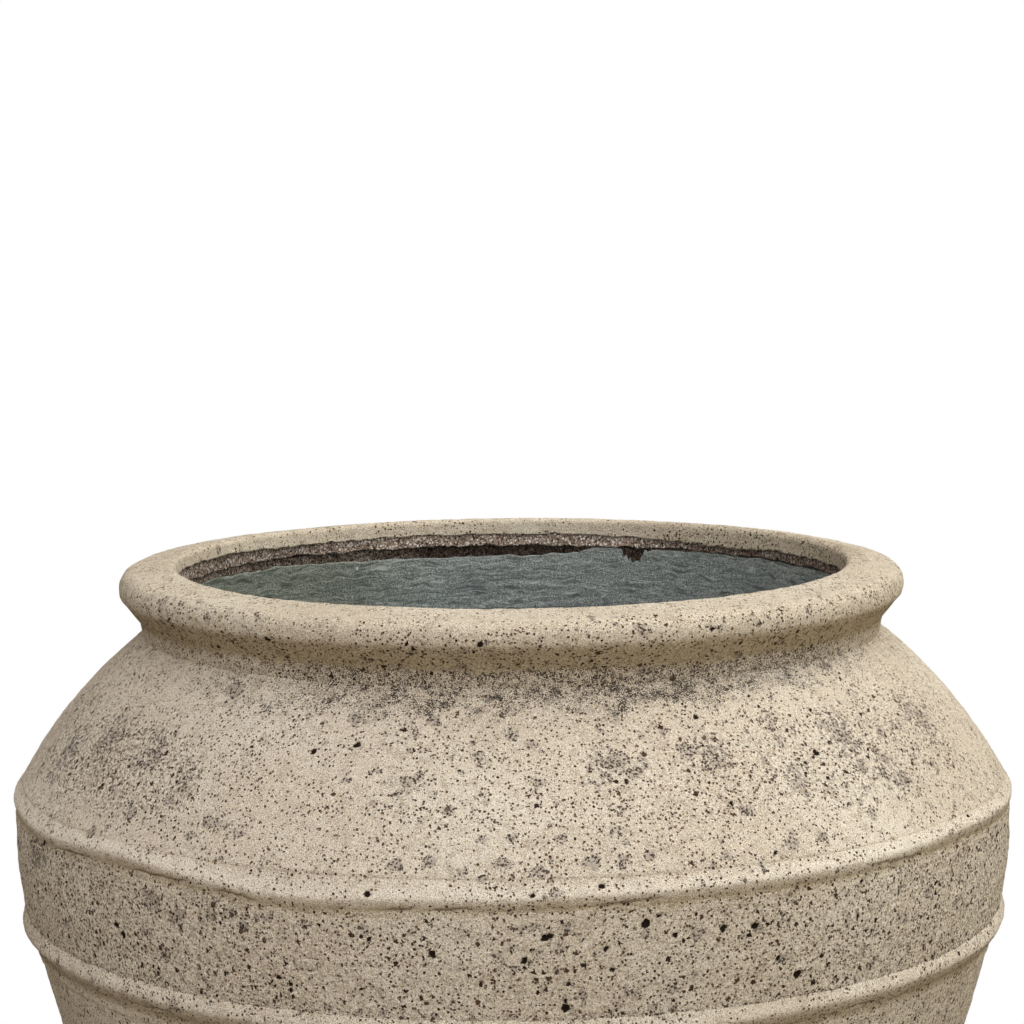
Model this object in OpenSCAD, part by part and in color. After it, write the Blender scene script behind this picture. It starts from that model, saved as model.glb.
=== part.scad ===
// Large clay jar planter with a rolled lip, a hollow neck and two applied bands.
// It is built in luted clay rings, sealed inside and given a sand coat outside.
// The axis of the jar is Z, and Z = 0 is the face that it stands on.

/* [Outside] */
// Height from the ground to the top of the lip
height = 520; // [460:1:620]
// Diameter of the belly just under the upper band
belly_d = 598; // [560:1:700]
// How far the belly draws in from the upper band to the lower band
waist_in = 4; // [1:0.5:20]
// How far the wall steps in under the lower band
lower_in = 5.5; // [3:0.5:20]
// Diameter of the foot
base_d = 340; // [280:1:420]
// Outward swell of the lower wall from a straight cone
lower_swell = 11.5; // [4:0.5:20]
// Outward swell of the belly between the bands
belly_swell = 2; // [0.5:0.5:5]
// Outward swell of the shoulder from a straight cone
shoulder_swell = 5.4; // [2:0.1:12]
// How far the foot of the shoulder lies inside the belly, under the upper band
shoulder_in = 3.5; // [1:0.5:8]

/* [Lip and neck] */
// Clear diameter of the mouth
mouth_d = 401; // [340:1:440]
// Thickness of the finished neck
neck_t = 22.5; // [20:0.5:32]
// How far the lip hangs out over the neck
lip_overhang = 13; // [11:0.5:20]
// Radius of the outer roll of the lip
lip_roll_r = 10.5; // [9:0.5:15]
// Radius of the inner edge of the lip
lip_edge_r = 4; // [2:0.5:9]
// Drop of the lip's flat from its inner edge to its outer roll
lip_fall = 2.5; // [0:0.5:4]
// Radius of the hollow under the lip
neck_hollow_r = 15; // [12:1:24]
// Upright length of the neck below the hollow
neck_straight = 7; // [0.5:0.5:10]
// How far the throat steps back under the rim
throat_back = 2.5; // [1:0.5:4]

/* [Bands] */
// Height of the shoulder from the upper band to the neck crease
shoulder_h = 84; // [70:1:110]
// Height of the upper band
upper_band_h = 16; // [10:0.5:24]
// How far the upper band stands out of the wall
upper_band_out = 2.8; // [1.5:0.1:5]
// Height of the belly between the two bands
belly_h = 58; // [40:1:80]
// Height of the lower band
lower_band_h = 19; // [12:1:28]
// How far the lower band stands out of the wall
lower_band_out = 3; // [1.5:0.5:6]

/* [Walls and coats] */
// Thickness of the clay wall
wall = 18; // [12:0.5:22]
// Thickness of the clay floor
floor_t = 22; // [16:1:32]
// Slope of the luted seams, rising inwards
seam_slope = 8; // [3:1:12]
// Diameter of the drain hole
drain_d = 30; // [16:1:50]
// Bevel round the foot
foot_bevel = 3; // [1:0.5:6]
// Thickness of the sand coat outside
coat = 2.5; // [1:0.1:4]
// Bare clay left at the foot, below the sand coat
coat_foot_gap = 5; // [4:0.5:12]
// Depth of the sand coat's edge inside the mouth, from the top of the lip
coat_mouth_drop = 11; // [10:0.5:14]
// Thickness of the sealant inside
seal = 1.5; // [0.8:0.1:3]
// Depth of the sealant's upper edge, from the top of the lip
seal_drop = 25; // [22:0.5:34]
// Bare clay left round the drain hole, inside the sealant
seal_drain_gap = 4; // [2:0.5:12]

/* [Hidden] */
$fn = 160;

// Chords in each stretch of the outline
wall_steps = 12;
band_steps = 10;
roll_steps = 9;

clay_colour = "#6b5145";
coat_colour = "#cdbfa8";
seal_colour = "#4a5253";

function unit(v) = v / norm(v);
function outward(v) = [v.y, -v.x];
function reversed(path) = [for (i = [len(path) - 1 : -1 : 0]) path[i]];
function stretch(path, first, last) = [for (i = [first : last]) path[i]];

// Points on a circle about a centre, from one angle to another
function arc_about(centre, r, from, to, steps) =
    [for (i = [0 : steps]) centre + r * [cos(from + (to - from) * i / steps), sin(from + (to - from) * i / steps)]];

// Points on the arc from p up to q, without q, that swells outwards by the given height
function arc_between(p, q, swell, steps) =
    let (chord = norm(q - p),
         r = chord * chord / (8 * swell) + swell / 2,
         out = outward(unit(q - p)),
         centre = (p + q) / 2 - out * (r - swell),
         from = atan2(p.y - centre.y, p.x - centre.x),
         to = atan2(q.y - centre.y, q.x - centre.x))
    stretch(arc_about(centre, r, from, to, steps), 0, steps - 1);

// The path moved sideways by d, outwards where d is positive, with mitred corners
function offset_path(path, d) =
    [for (i = [0 : len(path) - 1])
        let (before = i > 0 ? unit(path[i] - path[i - 1]) : unit(path[1] - path[0]),
             after = i < len(path) - 1 ? unit(path[i + 1] - path[i]) : before,
             mitre = outward(before) + outward(after))
        path[i] + mitre * (2 * d / (mitre * mitre))];

// Lip and neck of the finished outline, worked out from the top down
mouth_r = mouth_d / 2;
neck_r = mouth_r + neck_t;
rim_r = neck_r + lip_overhang;
lip_edge_centre = [mouth_r + lip_edge_r, height - lip_edge_r];
lip_roll_centre = [rim_r - lip_roll_r, height - lip_fall - lip_roll_r];
hollow_reach = lip_roll_r + neck_hollow_r;
hollow_across = neck_r + neck_hollow_r - lip_roll_centre.x;
hollow_centre = [neck_r + neck_hollow_r,
                 lip_roll_centre.y - sqrt(hollow_reach * hollow_reach - hollow_across * hollow_across)];
roll_under = atan2(hollow_centre.y - lip_roll_centre.y, hollow_centre.x - lip_roll_centre.x);

// Levels of the outline, stacked down from the neck crease
crease_z = hollow_centre.y - neck_straight;
shoulder_z = crease_z - shoulder_h;
belly_z = shoulder_z - upper_band_h;
waist_z = belly_z - belly_h;
lower_z = waist_z - lower_band_h;

foot_p = [base_d / 2, coat_foot_gap];
lower_p = [belly_d / 2 - waist_in - lower_in, lower_z];
waist_p = [belly_d / 2 - waist_in, waist_z];
belly_p = [belly_d / 2, belly_z];
shoulder_p = [belly_d / 2 - shoulder_in, shoulder_z];
crease_p = [neck_r, crease_z];

// The finished outline, from the foot to the coat's edge in the mouth
lower_path = arc_between(foot_p, lower_p, lower_swell, wall_steps);
lower_bump = arc_between(lower_p, waist_p, lower_band_out, band_steps);
belly_path = arc_between(waist_p, belly_p, belly_swell, wall_steps);
upper_bump = arc_between(belly_p, shoulder_p, upper_band_out, band_steps);
shoulder_path = arc_between(shoulder_p, crease_p, shoulder_swell, wall_steps);
neck_path = concat([crease_p], arc_about(hollow_centre, neck_hollow_r, 180, 180 + roll_under, roll_steps));
lip_path = concat(stretch(arc_about(lip_roll_centre, lip_roll_r, roll_under, 90, 2 * roll_steps), 1, 2 * roll_steps),
                  arc_about(lip_edge_centre, lip_edge_r, 90, 180, roll_steps),
                  [[mouth_r, height - coat_mouth_drop]]);
finished = concat(lower_path, lower_bump, belly_path, upper_bump, shoulder_path, neck_path, lip_path);

// Places in the outline where a new stretch begins
lower_bump_i = wall_steps;
belly_i = lower_bump_i + band_steps;
upper_bump_i = belly_i + wall_steps;
shoulder_i = upper_bump_i + band_steps;
crease_i = shoulder_i + wall_steps;
roll_i = crease_i + roll_steps + 1;
last_i = len(finished) - 1;

// The clay under the sand coat
clay = offset_path(finished, -coat);
clay_outside = concat(stretch(clay, 0, lower_bump_i), stretch(clay, belly_i, upper_bump_i), stretch(clay, shoulder_i, last_i));

// The inside of the clay, from the floor up to the throat and the mouth
mouth_clay_r = mouth_r + coat;
throat_r = mouth_clay_r + throat_back;
upper_inside = offset_path(concat(stretch(clay, belly_i, upper_bump_i), stretch(clay, shoulder_i, crease_i)), -wall);
below_throat = upper_inside[len(upper_inside) - 2];
throat_run = upper_inside[len(upper_inside) - 1] - below_throat;
throat_foot = [throat_r, below_throat.y + (throat_r - below_throat.x) * throat_run.y / throat_run.x];
lower_lean = atan2(lower_p.x - foot_p.x, lower_p.y - foot_p.y);
floor_rise = (floor_t - foot_p.y) / (lower_p.y - foot_p.y);
floor_r = foot_p.x + (lower_p.x - foot_p.x) * floor_rise + 4 * lower_swell * floor_rise * (1 - floor_rise)
          - (coat + wall) / cos(lower_lean);
floor_p = [floor_r, floor_t];
inside = concat(arc_between(floor_p, upper_inside[0], lower_swell, wall_steps),
                stretch(upper_inside, 0, len(upper_inside) - 2), [throat_foot]);

// Height of a luted seam at radius r, through the point p and rising inwards
function seam_z(p, r) = p.y + (p.x - r) * tan(seam_slope);
floor_seam = floor_p;
lower_seam = (clay[lower_bump_i] + clay[belly_i]) / 2;
upper_seam = (clay[upper_bump_i] + clay[shoulder_i]) / 2;
crease_seam = clay[crease_i];
rim_seam = clay[roll_i];
// The rim overhangs the throat, so the inside steps back under it
throat_step = [[mouth_clay_r, seam_z(rim_seam, mouth_clay_r)], [throat_r, seam_z(rim_seam, throat_r)]];

drain_r = drain_d / 2;
clay_foot_r = clay[0].x;

// Half section of all the clay but the bands
module clay_section()
    polygon(concat([[drain_r, 0], [clay_foot_r - foot_bevel, 0], [clay_foot_r, foot_bevel]],
                   clay_outside, throat_step, reversed(inside), [[drain_r, floor_t]]));

// What lies between two seams, as a half section
module between_seams(low, high)
    polygon([[0, seam_z(low, 0)], [belly_d, seam_z(low, belly_d)], [belly_d, seam_z(high, belly_d)], [0, seam_z(high, 0)]]);

// One clay ring of the wall
module luted_ring(low, high)
    color(clay_colour) rotate_extrude() intersection() {
        clay_section();
        between_seams(low, high);
    }

module base_slab() luted_ring([0, -belly_d], floor_seam);
module lower_ring() luted_ring(floor_seam, lower_seam);
module belly_ring() luted_ring(lower_seam, upper_seam);
module shoulder_ring() luted_ring(upper_seam, crease_seam);
module neck_ring() luted_ring(crease_seam, rim_seam);
module rim_roll() luted_ring(rim_seam, [0, height + belly_d]);

// One coil pressed on the wall over a seam
module pressed_coil(first, last)
    color(clay_colour) rotate_extrude() polygon(stretch(clay, first, last));

module upper_band() pressed_coil(upper_bump_i, shoulder_i);
module lower_band() pressed_coil(lower_bump_i, belly_i);

// Brushed coat over the floor and up the wall into the throat
module sealant_coat() {
    sealed = concat([[drain_r + seal_drain_gap, floor_t]], inside, [[throat_r, height - seal_drop]]);
    color(seal_colour) rotate_extrude() polygon(concat(sealed, reversed(offset_path(sealed, -seal))));
}

// Sand coat from the foot, over the bands and the lip, to its edge in the mouth
module stone_coat()
    color(coat_colour) rotate_extrude() polygon(concat(finished, reversed(clay)));

base_slab();
lower_ring();
belly_ring();
shoulder_ring();
neck_ring();
rim_roll();
upper_band();
lower_band();
sealant_coat();
stone_coat();
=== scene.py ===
"""Looks of a hand-built clay jar planter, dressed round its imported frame.

Meshes are in metres with Z up. Outlines are worked out in millimetres, as radius and height over the top of
the lip, and turned about Z. A turn of 0 degrees faces the camera, and 90 degrees is to its right.
"""

import bpy
import numpy as np
from mathutils import Matrix


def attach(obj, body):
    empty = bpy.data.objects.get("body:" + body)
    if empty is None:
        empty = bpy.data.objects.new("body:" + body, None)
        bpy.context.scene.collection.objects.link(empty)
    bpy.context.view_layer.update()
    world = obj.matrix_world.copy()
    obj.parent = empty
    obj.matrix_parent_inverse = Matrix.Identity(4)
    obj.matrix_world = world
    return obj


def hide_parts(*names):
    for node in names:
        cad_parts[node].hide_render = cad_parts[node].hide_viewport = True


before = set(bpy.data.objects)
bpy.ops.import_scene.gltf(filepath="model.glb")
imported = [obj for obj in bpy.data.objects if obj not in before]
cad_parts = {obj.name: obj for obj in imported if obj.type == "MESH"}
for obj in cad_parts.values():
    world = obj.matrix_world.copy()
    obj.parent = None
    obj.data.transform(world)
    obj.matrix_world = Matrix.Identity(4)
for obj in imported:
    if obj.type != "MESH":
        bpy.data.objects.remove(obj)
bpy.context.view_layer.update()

# Clay slab and wall rings
# Coarse brown clay with white grit: a floor slab with a drain hole, and the rings that are luted on it.
# Both coats hide all of them but the foot and the underside.


def paint(red, green, blue):
    """A colour given as a screen shows it, from 0 to 255, as the linear colour that a shader takes."""
    shown = np.array([red, green, blue]) / 255
    linear = np.where(shown <= 0.04045, shown / 12.92, ((shown + 0.055) / 1.055) ** 2.4)
    return (*linear.tolist(), 1.0)


class Finish:
    """A new material. Each method adds nodes and gives an output. Sizes are in millimetres."""

    def __init__(self, name, roughness, specular):
        self.material = bpy.data.materials.new(name)
        self.material.use_nodes = True
        self.tree = self.material.node_tree
        self.surface = self.tree.nodes["Principled BSDF"]
        self.surface.inputs["Roughness"].default_value = roughness
        self.surface.inputs["Specular IOR Level"].default_value = specular
        self.place = self.node("TexCoord", {}, "Object")

    def node(self, kind, inputs, output, **settings):
        """A node of that kind. Each input is a constant or another node's output."""
        made = self.tree.nodes.new("ShaderNode" + kind)
        for setting, value in settings.items():
            setattr(made, setting, value)
        for socket, value in inputs.items():
            if isinstance(value, bpy.types.NodeSocket):
                self.tree.links.new(value, made.inputs[socket])
            else:
                made.inputs[socket].default_value = value
        return made.outputs[output]

    def noise(self, size, detail, place=None):
        """Cloudy noise about 0.5 with features of that size."""
        inputs = {"Vector": place or self.place, "Scale": 1000 / size, "Detail": detail}
        return self.node("TexNoise", inputs, "Fac")

    def stretched(self, place, across, up):
        """Coordinates squeezed so that a noise of size 1 is that wide and that tall."""
        across, up = 1000 / across, 1000 / up
        return self.node("Mapping", {"Vector": place, "Scale": (across, across, up)}, "Vector")

    def ragged(self, size, reach):
        """Object coordinates pushed about by a noise of that size, up to reach, which frays round spots."""
        push = self.node("TexNoise", {"Vector": self.place, "Scale": 1000 / size, "Detail": 1.0}, "Color")
        reach = (reach / 1000,) * 3
        return self.node("VectorMath", {0: push, 1: reach, 2: self.place}, 0, operation="MULTIPLY_ADD")

    def mark(self, name):
        """One of the mesh's own values at each point."""
        return self.node("Attribute", {}, "Fac", attribute_name=name)

    def ramp(self, value, low, high):
        """0 below low, 1 above high, and a smooth step between them."""
        ends = {"Value": value, "From Min": low, "From Max": high}
        return self.node("MapRange", ends, "Result", interpolation_type="SMOOTHSTEP")

    def sum(self, value, factor, constant):
        """value times factor, plus constant."""
        return self.node("Math", {0: value, 1: factor, 2: constant}, 0, operation="MULTIPLY_ADD")

    def product(self, first, second):
        """first times second."""
        return self.node("Math", {0: first, 1: second}, 0, operation="MULTIPLY")

    def larger(self, first, second):
        """The larger of first and second."""
        return self.node("Math", {0: first, 1: second}, 0, operation="MAXIMUM")

    def specks(self, place, size, share, smallest, largest, soft=0.3):
        """Spots in that share of the cells of that size, 1 inside and 0 outside with a soft edge.
        The second output is a chance value for each spot."""
        reach = self.node("TexVoronoi", {"Vector": place, "Scale": 1000 / size}, "Distance")
        chance = self.node("SeparateColor", {"Color": reach.node.outputs["Color"]}, "Red")
        radius = self.sum(chance.node.outputs["Green"], (largest - smallest) / size, smallest / size)
        there = self.node("Math", {0: chance, 1: share}, 0, operation="LESS_THAN")
        radius = self.product(radius, there)
        inside = self.node("Math", {0: radius, 1: reach}, 0, operation="SUBTRACT")
        return self.ramp(inside, 0.0, soft / size), chance.node.outputs["Blue"]

    def mix(self, share, under, over, blend="MIX"):
        """The colour over laid on the colour under, by that share."""
        return self.node("Mix", {0: share, 6: under, 7: over}, 2, data_type="RGBA", blend_type=blend)

    def wear(self, colour, height, depth):
        """Sets the surface's colour, and its relief from a height of 0 to 1 that is that deep."""
        self.tree.links.new(colour, self.surface.inputs["Base Color"])
        bump = self.node("Bump", {"Height": height, "Strength": 1.0, "Distance": depth / 1000}, "Normal")
        self.tree.links.new(bump, self.surface.inputs["Normal"])


clay = Finish("bare_clay", 0.92, 0.2)
clay_lumps = clay.noise(1.4, 2)
clay_colour = clay.mix(clay.ramp(clay.noise(12, 3), 0.35, 0.65), paint(156, 135, 119), paint(188, 167, 150))
clay_colour = clay.mix(clay.ramp(clay_lumps, 0.51, 0.4), clay_colour, paint(78, 64, 55))
clay_grit, clay_tint = clay.specks(clay.ragged(1.0, 1.2), 1.6, 0.9, 0.35, 1.0, 0.15)
grit_colour = clay.mix(clay_tint, paint(214, 196, 178), paint(255, 253, 248))
clay_colour = clay.mix(clay_grit, clay_colour, grit_colour)
# Painted shade: the bare clay is darkened by the mesh's shade value, where it lies in shadow inside the
# mouth.
clay_colour = clay.mix(clay.mark("damp"), clay_colour, paint(92, 85, 79), "MULTIPLY")
clay.wear(clay_colour, clay_lumps, 0.9)

for name in ("base_slab", "lower_ring", "belly_ring", "shoulder_ring"):
    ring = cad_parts[name]
    ring.data.materials.clear()
    ring.data.materials.append(clay.material)

# Neck ring and rim roll
# The last two clay rings, left bare in a narrow strip inside the mouth. The roll overhangs the neck a
# little, and its broken face shows the grit.

lip_top = 520.0
clay_mouth_r = 203.0
throat_r = 205.5
rim_turns = 1200


def straight(start, end, step):
    """Points on the straight line from start to end, about step apart."""
    start, end = np.array(start, float), np.array(end, float)
    count = max(2, int(np.ceil(np.linalg.norm(end - start) / step)) + 1)
    return start + (end - start) * np.linspace(0, 1, count)[:, None]


def rounding(centre, radius, start, end, step):
    """Points on a circle about a centre, from one angle in degrees to another, about step apart."""
    count = max(2, int(np.ceil(abs(np.radians(end - start)) * radius / step)) + 1)
    angle = np.radians(np.linspace(start, end, count))
    return np.array(centre) + radius * np.stack([np.cos(angle), np.sin(angle)], 1)


def rounded(corners, radii, step):
    """Points about step apart along the straight lines through the corners, with the inner corners rounded.
    A round of radius r about a corner of half angle h touches both lines at r / tan h from the corner."""
    corners = np.array(corners, float)
    line = corners[:1]
    for before, here, after, radius in zip(corners, corners[1:], corners[2:], radii):
        back = (before - here) / np.linalg.norm(before - here)
        onward = (after - here) / np.linalg.norm(after - here)
        half = np.arccos(back @ onward) / 2
        centre = here + (back + onward) / np.linalg.norm(back + onward) * radius / np.sin(half)
        first, last = here + back * radius / np.tan(half), here + onward * radius / np.tan(half)
        start, end = (np.degrees(np.arctan2(*(touch - centre)[::-1])) for touch in (first, last))
        end = start + (end - start + 180) % 360 - 180
        bend = rounding(centre, radius, start, end, step)
        line = np.concatenate([line, straight(line[-1], first, step), bend])
    return np.concatenate([line, straight(line[-1], corners[-1], step)])


def outline(*stretches):
    """Stretches of points joined into one closed line, without the points that two stretches share."""
    line = np.concatenate(stretches)
    apart = np.linalg.norm(line - np.roll(line, 1, 0), axis=1)
    return line[apart > 1e-3]


def turned(line, turns):
    """The line turned about Z: points (r sin a, -r cos a, z), their outward directions, and the angles a.
    A direction is at right angles to the line through the point's two neighbours."""
    angle = np.linspace(-np.pi, np.pi, turns, endpoint=False)
    spin = np.stack([np.sin(angle), -np.cos(angle)], 1)
    along = np.roll(line, -1, 0) - np.roll(line, 1, 0)
    normal = np.stack([along[:, 1], -along[:, 0]], 1) / np.linalg.norm(along, axis=1)[:, None]

    def carried(section):
        flat = spin[:, None, :] * section[None, :, :1]
        height = np.broadcast_to(section[None, :, 1:], (turns, len(section), 1))
        return np.concatenate([flat, height], 2)

    return carried(line), carried(normal), np.degrees(angle)[:, None]


def lattice(cells, seed):
    """A repeatable random number from 0 to 1 for each whole-number cell, by folding bits."""
    primes = np.array([73856093, 19349663, 83492791], np.uint64)
    code = (cells.astype(np.uint64) * primes).sum(-1, dtype=np.uint64) + np.uint64(seed * 2654435761)
    for factor in (0xFF51AFD7ED558CCD, 0xC4CEB9FE1A85EC53):
        code = (code ^ (code >> np.uint64(33))) * np.uint64(factor)
    return ((code ^ (code >> np.uint64(33))) >> np.uint64(11)) / 2.0**53


def cloud(points, size, seed):
    """Smooth noise from -1 to 1: random numbers on a cubic grid of that size, blended by 3t^2 - 2t^3."""
    cells = np.floor(points / size)
    part = points / size - cells
    part = part * part * (3 - 2 * part)
    total = np.zeros(points.shape[:-1])
    for corner in np.ndindex(2, 2, 2):
        share = np.where(corner, part, 1 - part).prod(-1)
        total += share * (2 * lattice((cells + corner).astype(np.int64), seed) - 1)
    return total


def grit(points, size, octaves, seed):
    """Clouds added at half the size and half the height each time."""
    return sum(cloud(points, size / 2**k, seed + k) / 2**k for k in range(octaves))


def smooth(value, low, high):
    """0 below low, 1 above high, and a smooth step between them."""
    part = np.clip((value - low) / (high - low), 0, 1)
    return part * part * (3 - 2 * part)


def ring_mesh(name, grid, finish, **marks):
    """A mesh of quads from a grid of points, turns by rows, that closes on itself both ways.
    Each mark is a value per point that the finish reads."""
    turns, rows = grid.shape[:2]
    here = np.arange(turns * rows).reshape(turns, rows)
    beside = np.roll(here, -1, 0)
    quads = np.stack([here, beside, np.roll(beside, -1, 1), np.roll(here, -1, 1)], -1).reshape(-1, 4)
    mesh = bpy.data.meshes.new(name)
    mesh.vertices.add(turns * rows)
    mesh.vertices.foreach_set("co", ((grid + [0, 0, lip_top]) / 1000).astype(np.float32).ravel())
    mesh.loops.add(quads.size)
    mesh.loops.foreach_set("vertex_index", quads.astype(np.int32).ravel())
    mesh.polygons.add(len(quads))
    mesh.polygons.foreach_set("loop_start", np.arange(0, quads.size, 4, dtype=np.int32))
    mesh.polygons.foreach_set("use_smooth", np.ones(len(quads), bool))
    for mark, value in marks.items():
        layer = mesh.attributes.new(mark, "FLOAT", "POINT")
        layer.data.foreach_set("value", np.broadcast_to(value, grid.shape[:2]).astype(np.float32).ravel())
    mesh.materials.append(finish.material)
    mesh.update(calc_edges=True)
    piece = bpy.data.objects.new(name, mesh)
    bpy.context.scene.collection.objects.link(piece)
    return piece


def fitted(piece, node):
    """Puts the piece in the place of a node of the frame."""
    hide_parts(node)
    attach(piece, "root")


roll_centre = [225.5, -13]
edge_centre = [204.5, -4]
hollow_centre = [238, -35.2]
rim_seam = [229.3, -20.1]
rim_seam_in = [clay_mouth_r, -17.6]
throat_head = [throat_r, -18.2]
neck_foot = [220.5, -43.4]
throat_foot = [throat_r, -41.3]
broken_step = 0.9
hidden_step = 9

roll_line = outline(
    rounding(roll_centre, 8, -60, 90, hidden_step / 3),
    rounding(edge_centre, 1.5, 90, 180, hidden_step / 3),
    straight([clay_mouth_r, -4], rim_seam_in, broken_step),
    straight(rim_seam_in, throat_head, broken_step),
    straight(throat_head, rim_seam, hidden_step),
)
points, outward, turn = turned(roll_line, rim_turns)
bare = smooth(-points[..., 2], 4, 7) * (np.linalg.norm(points[..., :2], axis=-1) < throat_r + 0.1)
crumble = 0.8 * grit(points, 7, 3, 11) + 0.4 * cloud(points, 1.8, 17)
# Painted shade on the roll's bare face at the right and the left of the mouth, which are in shade.
shaded = 0.55 * smooth(np.abs(turn - 100), 60, 38) + 0.42 * smooth(np.abs(turn + 105), 55, 25)
grid = points + outward * (crumble * bare)[..., None]
grid[..., 2] += 1.2 * grit(points * [1, 1, 0], 14, 2, 12) * smooth(-points[..., 2], 13, 17) * bare
rim_clay = ring_mesh("rim_roll_clay", grid, clay, damp=shaded)
fitted(rim_clay, "rim_roll")

neck_line = outline(
    rounding(hollow_centre, 17.5, 180, 120, hidden_step / 3),
    straight(rim_seam, throat_head, hidden_step),
    straight(throat_head, [throat_r, -32], broken_step),
    straight([throat_r, -32], throat_foot, hidden_step),
    straight(throat_foot, neck_foot, hidden_step),
)
points, outward, turn = turned(neck_line, rim_turns)
bare = smooth(-points[..., 2], 18, 20) * (np.linalg.norm(points[..., :2], axis=-1) < throat_r + 0.1)
crumble = 0.6 * grit(points, 6, 3, 21) + 0.3 * cloud(points, 1.8, 27)
chip_turn = 156
undercut = smooth(np.abs((turn - 3) % 360 - 180), 26, 12) * smooth(-points[..., 2], 17, 19)
grid = points + outward * (crumble * bare - 1.2 * undercut * bare)[..., None]
# Painted shade on the bare neck strip under the roll's overhang: dark all round, darkest in the undercut
# and the chip, lighter on the lit left.
hollowed = np.maximum(undercut, smooth(np.abs(turn - chip_turn), 4, 2))
sunlit = smooth(np.abs(turn + 95), 40, 15)
neck_clay = ring_mesh("neck_ring_clay", grid, clay, damp=np.maximum(0.8 - 0.3 * sunlit, 0.97 * hollowed))
fitted(neck_clay, "neck_ring")

# Sealant
# Dark grey waterproof paint, brushed round the inside in overlapping strokes up to a ragged edge in the
# throat, with lumps that dried in it and a chip where it came off.

seal_turns = 840
seal_t = 1.5
seal_r = throat_r - seal_t


def bowed(start, end, swell, step):
    """Points from start to end on the circular arc that stands out of the straight line by swell."""
    start, end = np.array(start, float), np.array(end, float)
    chord = np.linalg.norm(end - start)
    radius = chord**2 / (8 * swell) + swell / 2
    side = np.array([end[1] - start[1], start[0] - end[0]]) / chord
    centre = (start + end) / 2 - side * (radius - swell)
    first, last = (np.degrees(np.arctan2(p[1] - centre[1], p[0] - centre[0])) for p in (start, end))
    return rounding(centre, abs(radius), first, last, step)


def spots(points, cell, share, smallest, largest, seed):
    """Round spots, 1 at the middle and 0 at the edge: 1 - (d/r)^2 about one random centre in each cube.
    That share of the cubes has a spot. No spot is wider than a cube."""
    base = np.floor(points / cell - 0.5)
    best = np.zeros(points.shape[:-1])
    for corner in np.ndindex(2, 2, 2):
        home = (base + corner).astype(np.int64)
        centre = home + np.stack([lattice(home, seed + k) for k in range(3)], -1)
        radius = smallest + (largest - smallest) * lattice(home, seed + 3) ** 2
        near = 1 - (np.linalg.norm(points / cell - centre, axis=-1) * cell / radius) ** 2
        best = np.maximum(best, near * (lattice(home, seed + 4) < share))
    return best


seal_line = outline(
    straight([seal_r, -27], [seal_r, -63], 0.97),
    straight([seal_r, -63], [219.2, -68.2], 2),
    bowed([272, -129.7], [219.2, -68.2], 3.3, 6)[::-1],
    straight([275.1, -135], [277.1, -144.4], 10),
    straight([277.4, -161], [273.3, -196.5], 12),
    bowed([156.4, -496.5], [273.3, -196.5], 11.5, 16)[::-1],
    straight([156.4, -496.5], [19, -496.5], 20),
    straight([19, -498], [157.2, -498], 60),
    bowed([157.2, -498], [274.8, -196.8], 11.5, 40),
    straight([278.9, -161], [278.6, -144.2], 30),
    bowed([273.3, -128.9], [217.1, -63.8], 3.5, 30),
    straight([throat_r, -54.4], [throat_r, -27], 20),
)
points, outward, turn = turned(seal_line, seal_turns)
strokes = cloud(points * [1, 1, 9], 34, 131) + 0.7 * cloud(points * [1, 1, 7], 13, 132)
lumps = spots(points, 11, 0.7, 0.9, 2.3, 133)
# Painted highlight: the same lumps moved a little up, so their lit upper parts can be painted pale.
rubbed = spots(points - [0, 0, 0.6], 11, 0.7, 0.9, 2.3, 133)
brushed = smooth(-points[..., 2], 26, 30) * (np.linalg.norm(points[..., :2], axis=-1) < 225)
grid = points + outward * ((0.24 * strokes + 1.8 * lumps) * brushed)[..., None]
flat = points * [1, 1, 0]
seal_edge = 1.3 + 6.8 * smooth(turn, 178, 158) * smooth(turn, 60, 90)
seal_edge = seal_edge + 2.6 * smooth(np.abs(turn + 115), 45, 15)
seal_edge = seal_edge + 0.9 * cloud(flat, 9, 134) + 0.5 * cloud(flat, 3.5, 135)
chip_reach = np.abs(turn - chip_turn) + 1.1 * cloud(flat, 2.0, 136)
seal_edge = seal_edge - (9 + 3.5 * cloud(flat, 2.2, 137)) * smooth(chip_reach, 3.1, 0.8)
grid[..., 2] += seal_edge * smooth(points[..., 2], -44, -27) * (points[..., 2] > -50)

seal = Finish("sealant", 0.38, 0.6)
seal_strokes = seal.noise(1000, 3, seal.stretched(seal.ragged(40, 12), 46, 4.2))
seal_colour = seal.mix(seal.ramp(seal_strokes, 0.34, 0.66), paint(135, 143, 141), paint(155, 162, 159))
seal_grain = seal.noise(0.9, 2)
seal_colour = seal.mix(seal.ramp(seal_grain, 0.5, 0.39), seal_colour, paint(98, 106, 104))
seal_colour = seal.mix(seal.ramp(seal_grain, 0.57, 0.67), seal_colour, paint(196, 203, 201))
seal_streaks = seal.noise(1000, 2, seal.stretched(seal.ragged(14, 7), 15, 2.8))
# Painted highlight on the brush ridges and painted shade between them, from the same streaks that shape the
# relief.
seal_colour = seal.mix(seal.ramp(seal_streaks, 0.46, 0.3), seal_colour, paint(98, 106, 105))
seal_colour = seal.mix(seal.ramp(seal_streaks, 0.6, 0.76), seal_colour, paint(186, 193, 191))
# Painted highlight: near white on the lit tops of the lumps.
seal_colour = seal.mix(seal.ramp(seal.mark("rubbed"), 0.3, 0.7), seal_colour, paint(236, 240, 238))
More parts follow.
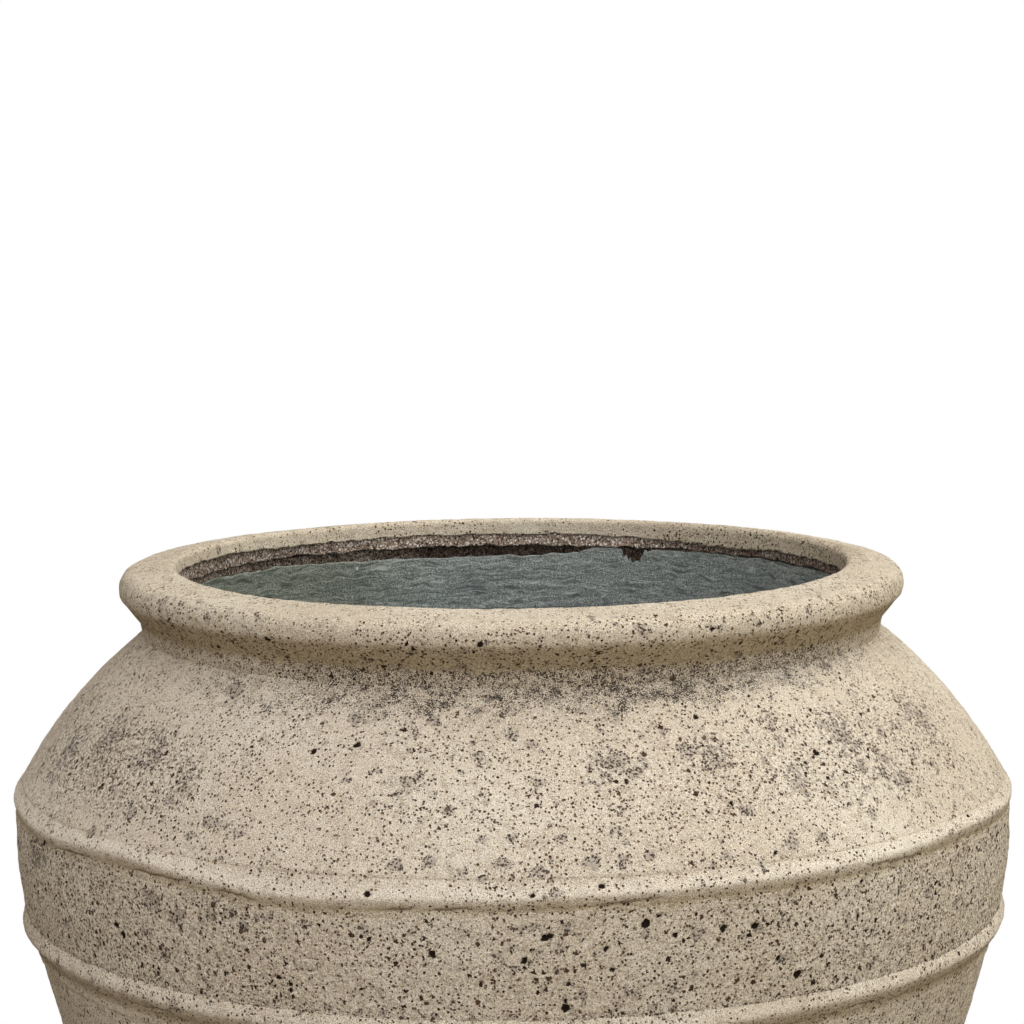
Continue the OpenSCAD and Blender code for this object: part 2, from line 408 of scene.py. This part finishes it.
# Painted shade on the left of the sealant.
seal_colour = seal.mix(seal.mark("damp"), seal_colour, paint(216, 216, 202), "MULTIPLY")
seal.wear(seal_colour, seal.sum(seal_grain, 0.12, seal_streaks), 1.0)
sealant = ring_mesh("sealant_skin", grid, seal, rubbed=rubbed, damp=smooth(np.abs(turn + 120), 50, 20))
fitted(sealant, "sealant_coat")

# Sand coat
# A matt cream slip full of sand over all the outside and the lip, pitted by air holes and gone grey where
# it is thin. It is modelled in four stretches that meet in the creases of the jar.

coat = Finish("stone_coat", 0.95, 0.12)
coat_sand = coat.noise(0.62, 2)
coat_tone = coat.ramp(coat.noise(90, 3), 0.35, 0.65)
coat_colour = coat.mix(coat_tone, paint(219, 205, 184), paint(233, 222, 203))
coat_colour = coat.mix(coat.ramp(coat.noise(7, 3), 0.52, 0.3), coat_colour, paint(198, 184, 164))
# Painted highlight: the ridges of the bands are paled where light catches them.
coat_colour = coat.mix(coat.product(coat.mark("ridge_highlight"), 0.5), coat_colour, paint(240, 231, 214))
coat_colour = coat.mix(coat.ramp(coat_sand, 0.47, 0.36), coat_colour, paint(172, 155, 133))
coat_colour = coat.mix(coat.ramp(coat_sand, 0.53, 0.64), coat_colour, paint(252, 246, 234))
mottle = coat.mark("mottle")
coarse = coat.noise(1.5, 2)
coarse_dark = coat.product(coat.ramp(coarse, 0.47, 0.37), mottle)
coat_colour = coat.mix(coat.product(coarse_dark, 0.75), coat_colour, paint(132, 115, 95))
coarse_pale = coat.product(coat.ramp(coarse, 0.56, 0.66), mottle)
coat_colour = coat.mix(coarse_pale, coat_colour, paint(242, 234, 218))
crowd = coat.noise(26, 3)
pinhole_share = coat.sum(mottle, 0.5, coat.sum(crowd, 2.6, -0.72))
pinholes, pinhole_tint = coat.specks(coat.ragged(1.2, 1.2), 2.0, pinhole_share, 0.4, 0.85, 0.15)
pinhole_colour = coat.mix(pinhole_tint, paint(58, 43, 34), paint(132, 102, 80))
coat_colour = coat.mix(pinholes, coat_colour, pinhole_colour)
pore_share = coat.sum(mottle, 1.3, coat.sum(crowd, 2.0, -1.17))
pores, pore_tint = coat.specks(coat.ragged(1.6, 3.0), 4.6, pore_share, 0.6, 1.6, 0.3)
coat_colour = coat.mix(pores, coat_colour, coat.mix(pore_tint, paint(42, 33, 28), paint(98, 74, 58)))
thin_share = coat.sum(coat.noise(70, 2), 3.0, coat.sum(mottle, 0.3, -1.3))
blots = coat.specks(coat.ragged(2.4, 4.5), 5.2, thin_share, 0.7, 2.0, 0.4)[0]
stains, stain_tint = coat.specks(coat.ragged(5.0, 10.0), 12, thin_share, 1.8, 4.2, 0.9)
clumps = coat.ramp(coat.sum(coat.noise(3.4, 3), 1.0, coat.mark("grey")), 0.83, 0.92)
thin = coat.larger(blots, coat.product(stains, 0.85))
thin = coat.larger(thin, coat.product(clumps, 0.9))
thin_dots, dot_tint = coat.specks(coat.ragged(1.1, 1.4), 1.6, thin, 0.5, 0.95, 0.15)
coat_colour = coat.mix(coat.product(thin, 0.45), coat_colour, paint(134, 123, 116))
coat_colour = coat.mix(thin_dots, coat_colour, coat.mix(dot_tint, paint(56, 47, 42), paint(100, 88, 81)))
soot_depth = coat.product(coat.mark("soot"), coat.sum(coat.noise(3.2, 2), 1.2, 0.4))
soot_from = coat.sum(soot_depth, -0.4, 0.8)
soot_to = coat.sum(soot_depth, -0.4, 0.87)
soot_cover = coat.ramp(coat.noise(0.65, 2), soot_from, soot_to)
soot_colour = coat.mix(stain_tint, paint(60, 52, 47), paint(106, 97, 90))
coat_colour = coat.mix(soot_cover, coat_colour, soot_colour)
# Painted shade: near black in the coat's holes and cracks, frayed by the sand grain.
pit_shade = coat.ramp(coat.sum(coat_sand, 0.9, coat.mark("pit")), 0.6, 0.85)
coat_colour = coat.mix(pit_shade, coat_colour, paint(40, 30, 25))
# Painted shade, tinted olive: under the lip, round the band creases and on the shaded inside of the mouth.
coat_colour = coat.mix(coat.mark("damp"), coat_colour, paint(174, 161, 120), "MULTIPLY")
coat_lumps = coat.product(coat.noise(2.4, 2), coat.sum(mottle, 1.4, 0.4))
coat_lumps = coat.sum(coat_sand, 0.7, coat_lumps)
coat_height = coat.sum(pores, -1.0, coat.sum(pinholes, -0.6, coat_lumps))
coat.wear(coat_colour, coat_height, 1.1)


def coat_relief(points, holes, own=0.0):
    """Height of the coat and its holes: hand-made waves, sand grain, ragged holes in that share of the
    cubes, and holes of the piece's own."""
    waves = 0.6 * cloud(points, 120, 31) + 0.3 * cloud(points, 40, 32)
    grain = 0.3 * grit(points, 6, 3, 33)
    bent = points + 1.1 * np.stack([cloud(points, 2.8, 44 + k) for k in range(3)], -1)
    hole = np.maximum(spots(bent, 11, holes, 0.8, 2.6, 41), own)
    return waves + grain - 1.4 * np.sqrt(hole), hole


def patches(points, turn, places, wide=1.0):
    """The largest of 1 - (d/r)^2 over the places, or else 0. A place is a turn in degrees, a height and a
    radius r, and each patch is that many times as wide as it is tall."""
    best = np.zeros(points.shape[:2])
    radius = np.linalg.norm(points[..., :2], axis=-1)
    for place_turn, height, reach in places:
        across = radius / wide * np.radians((turn - place_turn + 180) % 360 - 180)
        best = np.maximum(best, 1 - (across**2 + (points[..., 2] - height) ** 2) / reach**2)
    return best


neck_crease = [223.0, -42.2]
shoulder_foot = [295.5, -126.2]
grey_patches = (
    (-20, -56, 6), (-10, -56, 4), (0, -62, 4), (12, -75, 7), (14, -80, 5), (-4, -71, 4), (3, -83, 4),
    (-12, -83, 4), (-7, -96, 4), (0, -108, 4), (5, -108, 4), (11, -106, 4), (14, -118, 4), (-12, -121, 5),
    (-8.5, -119, 5), (-5, -123, 4), (-1, -119, 5), (2.5, -123, 5), (8, -119, 6), (11, -120, 5),
    (44, -75, 8), (44, -90, 6), (34, -92, 5), (50, -101, 6), (21, -72, 6), (26, -101, 5), (22, -121, 4),
    (30, -119, 5), (34, -118, 4), (42, -113, 5), (-41, -102, 5), (-34, -109, 6), (-36, -117, 4),
    (-30, -112, 4), (-46, -112, 5), (-41, -49, 7),
)
thin_zones = (
    (-67, -96, 24), (-58, -84, 26), (-48, -84, 22), (-40, -92, 18), (44, -76, 26), (48, -96, 20),
    (24, -76, 20), (62, -78, 24), (10, -78, 20), (34, -90, 16),
)
shoulder_turns = 1180
shoulder_line = outline(
    straight([293.5, -134], shoulder_foot, 2),
    bowed(shoulder_foot, neck_crease, 5.4, 1.6),
    straight(neck_crease, [219, -39.1], 2),
    straight([218.5, -42], [290, -132], 30),
)
points, outward, turn = turned(shoulder_line, shoulder_turns)
relief, pit = coat_relief(points, 0.14)
below_crease = neck_crease[1] - points[..., 2]
soot_side = 0.46 + 0.32 * smooth(np.abs(turn - 12), 70, 25)
soot_reach = 14 + 6 * grit(points, 26, 2, 61) + 12 * smooth(np.abs(turn + 42), 26, 10)
soot_reach = soot_reach - 4 * smooth(turn, 25, 60)
soot_fade = below_crease + 4 * cloud(points, 9, 62) + 3 * cloud(points, 4, 68)
soot_left = 1 - smooth(soot_fade, 0.35 * soot_reach, soot_reach + 3)
soot = (soot_side + 0.25 * grit(points, 6, 2, 60)) * soot_left
thinned = 0.43 * patches(points, turn, thin_zones)
grey = np.maximum(0.6 * patches(points, turn, grey_patches, 1.5), thinned)
rough_right = smooth(np.abs(turn - 42), 36, 14) * smooth(np.abs(points[..., 2] + 84), 30, 12)
rough_left = smooth(np.abs(turn + 60), 32, 10) * smooth(np.abs(points[..., 2] + 92), 32, 12)
roughness = 0.6 * rough_right + 0.9 * rough_left + 0.18 * smooth(np.abs(turn), 26, 14)
grid = points + outward * relief[..., None]
shoulder_coat = ring_mesh("shoulder_coat", grid, coat, soot=soot, grey=grey, pit=pit, mottle=roughness)
fitted(shoulder_coat, "stone_coat")

lip_turns = 1200
crack_turn = 85
lip_corners = [
    [220.8, -46], [223.6, -31.2], [235.4, -16.3], [236.3, -3.8], [202.0, 0.48], [200.9, -12.2],
]
lip_line = outline(
    rounded(lip_corners, [6, 4, 10, 4], 1.4),
    straight([202.9, -11.8], [202.8, -4], 4),
    rounding(edge_centre, 1.7, 180, 90, 3),
    rounding(roll_centre, 8.2, 90, -60, 5),
    rounding(hollow_centre, 17.3, 120, 180, 7),
)
points, outward, turn = turned(lip_line, lip_turns)
lip_chips = ((-4, -15.5, 2.0), (27, -12, 1.6))
relief, pit = coat_relief(points, 0.1, patches(points, turn, lip_chips))
outside = np.linalg.norm(points[..., :2], axis=-1) > 215
neck_edge = points[..., 2] + 1.8 * cloud(points, 14, 66) + 1.4 * cloud(points, 4, 67)
roll_edge = points[..., 2] + 1.3 * cloud(points, 11, 63) + 0.9 * cloud(points, 3.5, 71)
hollow = outside * (1 - smooth(roll_edge, -21, -14.5)) * smooth(neck_edge, -36, -30)
soot = outside * (0.48 + 0.3 * smooth(np.abs(turn - 10), 70, 30)) * (1 - smooth(neck_edge, -33, -27.5))
lip_blots = ((44, -8, 5), (29, -8, 4), (28, -12, 5), (-3, -15, 4))
inside_edge = (1 - outside) * np.clip(-points[..., 2] / 12, 0, 1)
edge_rise = 1.8 + 2.2 * smooth(np.abs(turn + 100), 38, 15) - 3.2 * smooth(np.abs(turn - 120), 50, 15)
edge_rise = edge_rise + 2.0 * smooth(np.abs(turn - 105), 30, 12)
edge_rise = edge_rise + 0.9 * cloud(points, 7, 64) + 0.4 * cloud(points, 3, 65)
lip_mottle = 0.25 + 0.2 * hollow - 0.7 * np.maximum(1 - outside, smooth(points[..., 2], -7, -2))
far_right = (1 - outside) * smooth(np.abs(turn - 118), 50, 20)
lip_mottle = lip_mottle + 0.1 * smooth(-turn, 20, 50) + 0.9 * far_right
past_crack = turn - crack_turn - 0.5 * cloud(points, 9, 70)
on_top = smooth(points[..., 2], -9, -5)
crack = smooth(np.abs(past_crack), 0.45, 0.1) * on_top
crack_step = smooth(past_crack, 0, 0.4) * smooth(past_crack, 16, 3) * on_top
pit = np.maximum(pit, 0.3 * crack)
grid = points + outward * (0.8 * relief - 0.5 * crack)[..., None]
grid[..., 2] += edge_rise * inside_edge + 0.25 * crack_step
grid[..., 2] -= 1.1 * smooth(np.abs(turn + 6), 80, 25) * smooth(points[..., 2], -14, -5)
# Painted shade: a little over all the lip and more on its left, much more in the hollow under the roll and
# on the shaded inside face at the far right.
lip_damp = 0.13 + 0.06 * smooth(-turn, 5, 40) + 0.42 * hollow + 0.22 * far_right
lip_marks = {"soot": soot, "pit": pit, "damp": lip_damp, "mottle": lip_mottle}
lip_coat = ring_mesh("lip_coat", grid, coat, grey=0.5 * patches(points, turn, lip_blots), **lip_marks)
fitted(lip_coat, "stone_coat")


def upper_sag(turn):
    """Height of the upper band's line: bell-shaped rises and dips, each a turn, a height and a width."""
    total = 0.25 * np.sin(np.radians(14 * turn))
    bells = ((-46, 3.8, 12), (-22, -3.2, 9), (20, 1.8, 12), (54, 4.6, 19), (-110, 3, 35), (120, 3, 30))
    for place, height, width in bells:
        total = total + height * np.exp(-((((turn - place + 180) % 360 - 180) / width) ** 2))
    return total


belly_holes = (
    (-8, -165, 2.2), (1, -168, 2.1), (3, -157, 2.0), (3.5, -155.5, 2.0), (9, -163, 2.3), (13, -152, 2.4),
    (5, -194, 2.3), (5, -190, 1.5), (30, -188, 2.8), (-46, -172, 2.2), (-45, -176, 2.0), (16, -159, 1.8),
)
belly_turns = 1360
belly_line = outline(
    straight([293.5, -206], [295, -200.1], 1.2),
    rounded([[295, -200.1], [298.8, -171], [299.3, -143.4], [296, -139]], [150, 2], 1.05),
    straight([294, -139], [291.5, -206], 20),
)
points, outward, turn = turned(belly_line, belly_turns)
own_holes = patches(points, turn, belly_holes)
own_holes = np.maximum(0, own_holes + 0.9 * (own_holes > 0) * grit(points, 2.6, 2, 87))
relief, pit = coat_relief(points, 0.5, own_holes)
under_band = 1 - smooth(-142.5 - points[..., 2], 0, 3.5 + 2.5 * cloud(points, 12, 83))
dark_patches = (
    (-65, -149, 18), (-40, -155, 9), (-36, -157, 7), (-37, -160, 6), (-32, -154, 6), (-28, -156, 6),
    (28, -178, 5), (40, -173, 5), (-19, -197, 4), (-15.5, -198, 4), (-13, -196, 4), (-8, -198, 3),
    (0, -198, 3), (14, -197, 4), (2, -150, 4), (5, -152, 4), (13, -157, 4), (-15, -152, 5), (-10, -153, 4),
    (16, -187, 5), (25, -160, 5),
)
over_band = smooth(-points[..., 2] + 2 * cloud(points, 8, 85), 193, 199)
soot = np.maximum(0.4 * under_band, 0.6 * over_band)
rough = 0.35 * grit(points, 9, 3, 88)
grid = points + outward * (relief + rough)[..., None]
grid[..., 2] += upper_sag(turn) * smooth(points[..., 2], -172, -146)
roughness = 0.55 + 0.3 * smooth(np.abs(turn), 15, 50)
grey = 0.55 * patches(points, turn, dark_patches, 1.2)
# The wall just under the upper band gets painted shade.
belly_marks = {"soot": soot, "pit": pit, "damp": 0.4 * under_band, "mottle": roughness, "grey": grey}
belly_coat = ring_mesh("belly_coat", grid, coat, **belly_marks)
fitted(belly_coat, "stone_coat")

lower_turns = 720
lower_line = outline(
    bowed([170, -515], [289.5, -219.1], 11.5, 2.8),
    straight([289.5, -219.1], [291.3, -211], 2),
    straight([288.8, -211], [287, -219.1], 2),
    bowed([167.5, -515], [287, -219.1], 11.5, 30)[::-1],
)
points, outward, turn = turned(lower_line, lower_turns)
relief, pit = coat_relief(points, 0.4)
under_band = 1 - smooth(-215 - points[..., 2] + 2 * cloud(points, 10, 86), 0, 6)
grid = points + outward * relief[..., None]
# The wall just under the lower band gets painted shade.
lower_marks = {"soot": 0.45 * under_band, "pit": pit, "damp": 0.5 * under_band, "mottle": 0.5}
lower_coat = ring_mesh("lower_coat", grid, coat, **lower_marks)
fitted(lower_coat, "stone_coat")

# Bands
# Two clay coils pressed on the wall over the seams of the rings and coated with the rest. The upper one
# runs into the shoulder and drops to a sharp crease, and both wander up and down as laid by hand.


def band(name, corners, radii, back, sag, cracks, turns, rubbed):
    """A coil with that rounded section over two points at its back, laid round the jar and sagging by sag.
    The third corner is the crease, and the coil's top stays on the wall above. Each crack in the slip is
    the turn and height of its two ends, and the ridge gets a painted highlight by that share."""
    line = outline(rounded(corners, radii, 0.8), straight(back[0], back[1], 8))
    points, outward, turn = turned(line, turns)
    relief, pit = coat_relief(points, 0.2)
    crease, ridge, top = corners[2][1], corners[3][1], corners[4][1]
    off_crease = points[..., 2] - crease + 0.8 * cloud(points, 9, 95) + 0.5 * cloud(points, 3, 96)
    low = smooth(off_crease, ridge - crease - 1, 0) * smooth(off_crease, -5, -1)
    grid = points + outward * relief[..., None]
    grid[..., 2] += sag(turn) * smooth(-points[..., 2], -top, -ridge)
    flat = points * [1, 1, 0]
    wander = 1.0 * cloud(flat, 9, 97) + 0.6 * cloud(flat, 3, 98)
    crack = 0.0
    for start_turn, start, end_turn, end in cracks:
        part = (turn - start_turn) / (end_turn - start_turn)
        run = start + (end - start) * part + wander
        along = smooth(np.abs(part - 0.5), 0.5, 0.25)
        crack = np.maximum(crack, smooth(np.abs(grid[..., 2] - run), 1.6, 0.3) * along)
    grid -= outward * (0.8 * crack)[..., None]
    # Painted highlight along the ridge, where light catches the top of the coil.
    ridge_highlight = rubbed * smooth(np.abs(points[..., 2] - ridge - 2.5), 5.5, 1.5)
    pit = np.maximum(pit, 0.25 * crack)
    # The band's face and the wall round the crease get painted shade, darkest at the crease.
    marks = {"soot": 0.4 * low, "pit": pit, "damp": 0.5 * low, "mottle": 0.2 - 0.35 * rubbed, "ridge_highlight": ridge_highlight}
    piece = ring_mesh(name + "_coil", grid, coat, **marks)
    fitted(piece, name)


def lower_sag(turn):
    """Height from one slow wave and two quicker ones, a little below the seam."""
    angle = np.radians(turn)
    return -2.6 + 0.7 * np.sin(angle) + 0.6 * np.cos(5 * angle + 3) + 0.4 * np.sin(7 * angle + 2)


upper_corners = [[296.5, -150], [299.4, -147.5], [298.8, -142], [300.7, -135.8], [293, -123]]
upper_cracks = (
    (-59, -140.5, -50, -138), (-45, -138, -33, -138.5), (-32, -141, -26, -143), (-14, -144, -9, -140),
    (-9, -142.5, -3, -141.5), (7, -141.5, 16, -138.5), (38, -137, 49, -136.5), (-100, -140, -90, -138),
    (80, -138, 96, -139), (130, -137, 142, -140), (170, -141, 178, -142), (-150, -141, -138, -141),
)
upper_back = ([291.5, -123.5], [293, -149])
upper_rounds = [2, 2.5, 3.5]
band("upper_band", upper_corners, upper_rounds, upper_back, upper_sag, upper_cracks, turns=1700, rubbed=1.0)
lower_corners = [[286, -226], [289, -221.5], [290.6, -214.8], [297.9, -205], [293.8, -198.5]]
lower_cracks = ((-48, -215, -38, -214.5), (36, -214, 44, -213.5), (110, -214, 122, -215))
lower_back = ([291, -199], [284, -225])
lower_rounds = [2, 3, 4]
band("lower_band", lower_corners, lower_rounds, lower_back, lower_sag, lower_cracks, turns=1400, rubbed=0.1)

# Studio
# A pale floor that fades to white, soft light from the front and above that is rosy from the left and warm
# from the low right, and one large soft lamp behind the right shoulder.

floor_r = 3.0
floor_mesh = bpy.data.meshes.new("floor")
around = np.linspace(0, 2 * np.pi, 64, endpoint=False)
rim_points = np.stack([floor_r * np.cos(around), floor_r * np.sin(around), 0 * around], 1)
floor_mesh.from_pydata(rim_points.tolist(), [], [list(range(64))])
floor = bpy.data.objects.new("floor", floor_mesh)
bpy.context.scene.collection.objects.link(floor)
ground = Finish("pale_floor", 0.9, 0.0)
seen = ground.node("LightPath", {}, "Is Camera Ray")
far = ground.ramp(ground.node("VectorMath", {0: ground.place}, "Value", operation="LENGTH"), 0.35, 0.8)
plain = ground.node("BsdfDiffuse", {"Color": (0.8, 0.8, 0.8, 1)}, "BSDF")
white = ground.node("Emission", {"Color": (1, 1, 1, 1), "Strength": 1.0}, "Emission")
dim = ground.node("BsdfDiffuse", {"Color": (0.21, 0.165, 0.1, 1)}, "BSDF")
shown = ground.node("MixShader", {0: far, 1: plain, 2: white}, 0)
both = ground.node("MixShader", {0: seen, 1: dim, 2: shown}, 0)
ground.tree.links.new(both, ground.tree.nodes["Material Output"].inputs["Surface"])
floor_mesh.materials.append(ground.material)

world = bpy.data.worlds.new("room")
bpy.context.scene.world = world
world.use_nodes = True
tree = world.node_tree
sky = tree.nodes["Background"]
direction = tree.nodes.new("ShaderNodeTexCoord")


def rising(toward, low, high, least, most, kind):
    """From least to most over the sky, as a direction's share along toward goes from low to high."""
    share = tree.nodes.new("ShaderNodeVectorMath")
    share.operation = "DOT_PRODUCT"
    share.inputs[1].default_value = toward
    tree.links.new(direction.outputs["Generated"], share.inputs[0])
    value = tree.nodes.new("ShaderNodeMapRange")
    value.interpolation_type = kind
    for socket, end in {"From Min": low, "From Max": high, "To Min": least, "To Max": most}.items():
        value.inputs[socket].default_value = end
    tree.links.new(share.outputs["Value"], value.inputs["Value"])
    return value.outputs["Result"]


def tinted(share, tint):
    """A blend from white to the tint by that share. Another blend can take the place of the white."""
    blend = tree.nodes.new("ShaderNodeMix")
    blend.data_type = "RGBA"
    blend.inputs[6].default_value = (1, 1, 1, 1)
    blend.inputs[7].default_value = tint
    tree.links.new(share, blend.inputs[0])
    return blend


brightness = rising((0.2, -0.63, 0.75), -0.2, 1.0, 0.03, 1.4, "SMOOTHSTEP")
tree.links.new(brightness, sky.inputs["Strength"])
rosy = tinted(rising((-1.0, 0.0, 0.0), 0.0, 0.8, 0.0, 1.0, "LINEAR"), (1, 0.91, 0.85, 1))
warm = tinted(rising((0.6, 0.0, -0.8), 0.0, 0.8, 0.0, 1.0, "LINEAR"), (1, 0.89, 0.58, 1))
tree.links.new(rosy.outputs[2], warm.inputs[6])
tree.links.new(warm.outputs[2], sky.inputs["Color"])
backdrop = tree.nodes.new("ShaderNodeBackground")
backdrop.inputs["Color"].default_value = (1, 1, 1, 1)
ray = tree.nodes.new("ShaderNodeLightPath")
either = tree.nodes.new("ShaderNodeMixShader")
tree.links.new(ray.outputs["Is Camera Ray"], either.inputs[0])
tree.links.new(sky.outputs[0], either.inputs[1])
tree.links.new(backdrop.outputs[0], either.inputs[2])
tree.links.new(either.outputs[0], tree.nodes["World Output"].inputs["Surface"])

lamp = bpy.data.objects.new("soft_lamp", bpy.data.lights.new("soft_lamp", "AREA"))
lamp.data.shape = "DISK"
lamp.data.size = 1.6
lamp.data.energy = 26
lamp.data.color = (1.0, 0.95, 0.85)
lamp.location = (1.57, 0.57, 2.35)
lamp.rotation_euler = lamp.location.to_track_quat("Z", "Y").to_euler()
bpy.context.scene.collection.objects.link(lamp)

# Camera
# It stands a little above the mouth, and the photograph cuts the jar off below the lower band.

frame_px = 1024
focal_px = 2836
camera = bpy.data.objects.new("camera", bpy.data.cameras.new("camera"))
camera.data.sensor_width = 36
camera.data.lens = 36 * focal_px / frame_px
pitch, roll = np.radians(6.52), np.radians(-0.5)
stand = Matrix.Translation((0.00085, -1.704, 0.7423))
camera.matrix_world = stand @ Matrix.Rotation(np.pi / 2 - pitch, 4, "X") @ Matrix.Rotation(roll, 4, "Z")
bpy.context.scene.collection.objects.link(camera)
bpy.context.scene.camera = camera
bpy.context.scene.view_settings.view_transform = "Standard"
